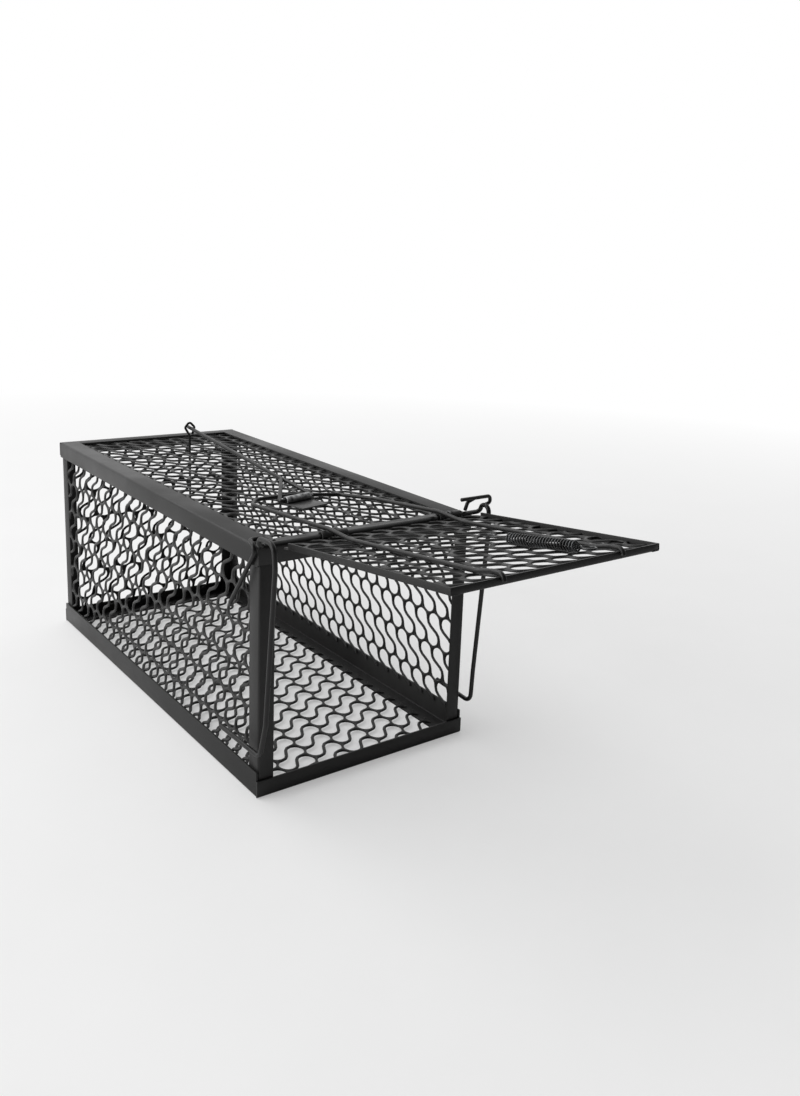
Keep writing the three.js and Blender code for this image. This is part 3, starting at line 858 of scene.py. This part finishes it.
def doorSpring():
    rise = door["meshThick"] - door["hemInner"] + seatGap + spring["wire"] + spring["radius"]
    start, end = spring["start"], spring["end"]
    length = end[1] - start[1]

    def at(u):
        return start[0] + (u - start[1]) * (end[0] - start[0]) / length

    def hook(u, wide, long, first, step):
        turns = [math.pi * (first + i * step) for i in range(spring["hookSteps"] + 1)]
        return [onDoor(at(u) + wide * math.sin(turn), u + long * math.cos(turn), rise)
                for turn in turns]

    steps = spring["turns"] * spring["turnSteps"]
    coil = []
    for i in range(steps + 1):
        u = start[1] + length * i / steps
        angle = i * 2 * math.pi / spring["turnSteps"]
        coil.append(onDoor(at(u) + spring["radius"] * math.cos(angle), u,
                           rise + spring["radius"] * math.sin(angle)))
    nearHook, farHook = spring["hooks"]
    points = [*hook(*nearHook), *coil, *hook(*farHook)]
    mesh = wire("door_spring", points, spring["wire"], springCoat, 0.0, 1, 8)
    keepPiece("door_spring_coil", mesh, "door", "door_spring")


plateY = lever["reach"] - trigger["plateBack"]
plateZ = roofTop + seatGap + trigger["radius"] + runClear + trigger["sheet"]
eyeZ = roofTop + trigger["tipRise"]


def onPlate(across, back, up):
    yaw = trigger["plateYaw"]
    return spot(trigger["plateX"] + across * math.cos(yaw) - back * math.sin(yaw),
                plateY + across * math.sin(yaw) + back * math.cos(yaw), plateZ + up)


def triggerPlate():
    radius = trigger["radius"] + runClear + trigger["sheet"] / 2
    half = trigger["plateWide"] / 2
    line = [(-trigger["plateDepth"], -radius), (-trigger["plateDepth"] * 0.5, -radius),
            (-1.0, -radius), *arc((0, 0), radius, -90, 215, 20)]
    stations = [-half + i * (2 * half) / 8 for i in range(9)]

    def place(station, back, up):
        return onPlate(station, back, up)

    mesh = foldedSheet("trigger_plate", line, stations, place, trigger["sheet"], plateCoat)
    # Rises towards the top of the hem, where bright bare metal is painted: partly rub, partly a
    # painted highlight.
    rubAndGlint = mesh.attributes.new("rubAndGlint", "FLOAT", "POINT")
    for vertex in mesh.vertices:
        height = (vertex.co.z / mm - plateZ) / radius
        rubAndGlint.data[vertex.index].value = min(max(0.5 + height * 0.9, 0), 1)
    keepPiece("trigger_plate_rolled", mesh, "cage", "trigger_plate")


def triggerArm():
    size = trigger["radius"]
    half = trigger["plateWide"] / 2 + size + trigger["loopOut"]
    apex = spot(1, lever["reach"] + trigger["apexBack"], plateZ + trigger["apexRise"])
    tip = spot(bait["x"], bait["y"] + 2.4, eyeZ)
    along = (tip - apex).normalized()

    def beside(distance):
        return apex + Vector((distance, -1.5, 0)) * mm

    loop = [beside(-0.4), onPlate(-half, 1.0, 0.1), onPlate(-half + 1.2, 0, 0),
            onPlate(half - 1.2, 0, 0), onPlate(half, 1.0, 0.1), beside(0.4)]
    triangle = wire("triggerLoop", loop, size, wireCoat, 1.2, 5)
    reach = wire("triggerReach", [apex - along * 2.5 * mm, tip], size, wireCoat)
    mesh = joinMeshes("trigger_arm", [triangle, reach])
    keepPiece("trigger_arm_wire", mesh, "trigger", "trigger_arm")


def baitHook():
    x, y = bait["x"], bait["y"]
    wide, tall = bait["eyeWide"], bait["eyeTall"]
    stem = eyeZ - tall - 1.6
    hook = roofTop - bait["drop"]
    points = [
        spot(x + 0.9, y - 1.5, stem + 0.8), spot(x + wide, y - 0.6, eyeZ),
        spot(x, y, eyeZ + tall), spot(x - wide, y, eyeZ), spot(x, y, stem),
        spot(x, y, hook), spot(x, y - 9, hook - 5), spot(x, y - 15, hook + 5),
    ]
    mesh = wire("bait_hook", points, bait["radius"], wireCoat, 1.4, 5, 12)
    keepPiece("bait_hook_wire", mesh, "bait", "bait_hook")


hingeRod()
bailArms()
bailTail()
hingeClips()
anchorWire()
doorLever()
doorSpring()
triggerPlate()
triggerArm()
baitHook()
print("wires bent")


room = {
    "floorTone": 0.82, "toneDrift": 0.05, "grainSize": 60, "floorGlow": 0.35,
    "reach": 2.6, "fadeFrom": 0.25, "fadeTo": 1.2, "skyFront": 0.05, "skyRear": 0.95,
    "rearFrom": (-0.55, 0.5),
}
lamps = {
    "skylight": {"place": (-0.5, 0.7, 1.3), "size": 1.1, "power": 10},
    "leftKey": {"place": (-1.4, 0.25, 0.6), "size": 0.9, "power": 9},
}
lampAim = Vector((0, 0, 0.05))


def makeFloor():
    mesh = bpy.data.meshes.new("floor")
    reach = room["reach"]
    corners = [(-reach, -reach, 0), (reach, -reach, 0), (reach, reach, 0), (-reach, reach, 0)]
    mesh.from_pydata(corners, [], [(0, 1, 2, 3)])
    floor = bpy.data.objects.new("floor", mesh)
    scene.collection.objects.link(floor)
    paint = Paint("paleFloor")
    distance = paint.number("ShaderNodeVectorMath", {"operation": "LENGTH"},
                            {0: paint.place}, "Value")
    fade = paint.between(distance, room["fadeFrom"], room["fadeTo"])
    grain = paint.noise(room["grainSize"], 3)
    pale = room["floorTone"] + room["toneDrift"]
    colour = paint.blend(grain, tone(room["floorTone"]), tone(pale))
    paint.finish(Base_Color=colour, Roughness=0.9, Specular_IOR_Level=0.2)
    glow = paint.node("ShaderNodeEmission", {}, {"Color": (1, 1, 1, 1), "Strength": 1.0})
    path = paint.node("ShaderNodeLightPath")
    share = room["floorGlow"] + fade * (1 - room["floorGlow"])
    mixed = paint.node("ShaderNodeMixShader", {}, {
        0: share * Amount(paint, path.outputs["Is Camera Ray"]),
        1: paint.shader.outputs[0], 2: glow.outputs[0]})
    output = paint.tree.nodes["Material Output"]
    paint.tree.links.new(mixed.outputs[0], output.inputs["Surface"])
    mesh.materials.append(paint.material)


class Sky(Paint):
    # The world's nodes, filled in the same way as a finish.
    def __init__(self, name):
        self.world = bpy.data.worlds.new(name)
        self.world.use_nodes = True
        self.tree = self.world.node_tree
        self.shader = self.tree.nodes["Background"]


def makeSky():
    sky = Sky("softRoom")
    path = sky.node("ShaderNodeLightPath")
    seen = Amount(sky, path.outputs["Is Camera Ray"])
    seen = seen + Amount(sky, path.outputs["Is Transmission Ray"])
    # The room is brightest behind the trap and dim in front of it.
    towards = sky.node("ShaderNodeSeparateXYZ", {}, {
        0: sky.node("ShaderNodeTexCoord").outputs["Generated"]})
    rear = sky.between(Amount(sky, towards.outputs[1]), *room["rearFrom"])
    fill = room["skyFront"] + rear * (room["skyRear"] - room["skyFront"])
    sky.fill(sky.shader.inputs["Color"], (1, 1, 1, 1))
    sky.fill(sky.shader.inputs["Strength"], fill + seen * (1 - fill))
    scene.world = sky.world


def softLamp(name, place, size, power):
    lamp = bpy.data.lights.new(name, "AREA")
    lamp.size = size
    lamp.energy = power
    holder = bpy.data.objects.new(name, lamp)
    scene.collection.objects.link(holder)
    holder.location = place
    holder.rotation_euler = (lampAim - Vector(place)).to_track_quat("-Z", "Y").to_euler()


camera = {
    "place": (-246.15, -354.66, 236.28), "turn": -38.661, "lift": 12.278, "roll": 2.636,
    "lens": 32.66, "shift": (-0.0380, -0.0689),
}


def makeCamera():
    turn, lift, roll = (math.radians(camera[key]) for key in ("turn", "lift", "roll"))
    back = Vector((math.sin(turn) * math.cos(lift), -math.cos(turn) * math.cos(lift),
                   math.sin(lift)))
    right = Vector((math.cos(turn), math.sin(turn), 0))
    up = back.cross(right)
    across = right * math.cos(roll) + up * math.sin(roll)
    above = up * math.cos(roll) - right * math.sin(roll)
    lens = bpy.data.cameras.new("view")
    lens.lens = camera["lens"]
    lens.shift_x, lens.shift_y = camera["shift"]
    lens.clip_start, lens.clip_end = 0.01, 20
    holder = bpy.data.objects.new("view", lens)
    scene.collection.objects.link(holder)
    turned = Matrix((across, above, back)).transposed().to_4x4()
    holder.matrix_world = Matrix.Translation(spot(*camera["place"])) @ turned
    scene.camera = holder


makeFloor()
makeSky()
for lampName, lampSizes in lamps.items():
    softLamp(lampName, **lampSizes)
makeCamera()
scene.view_settings.view_transform = "Standard"
print("room and camera set")
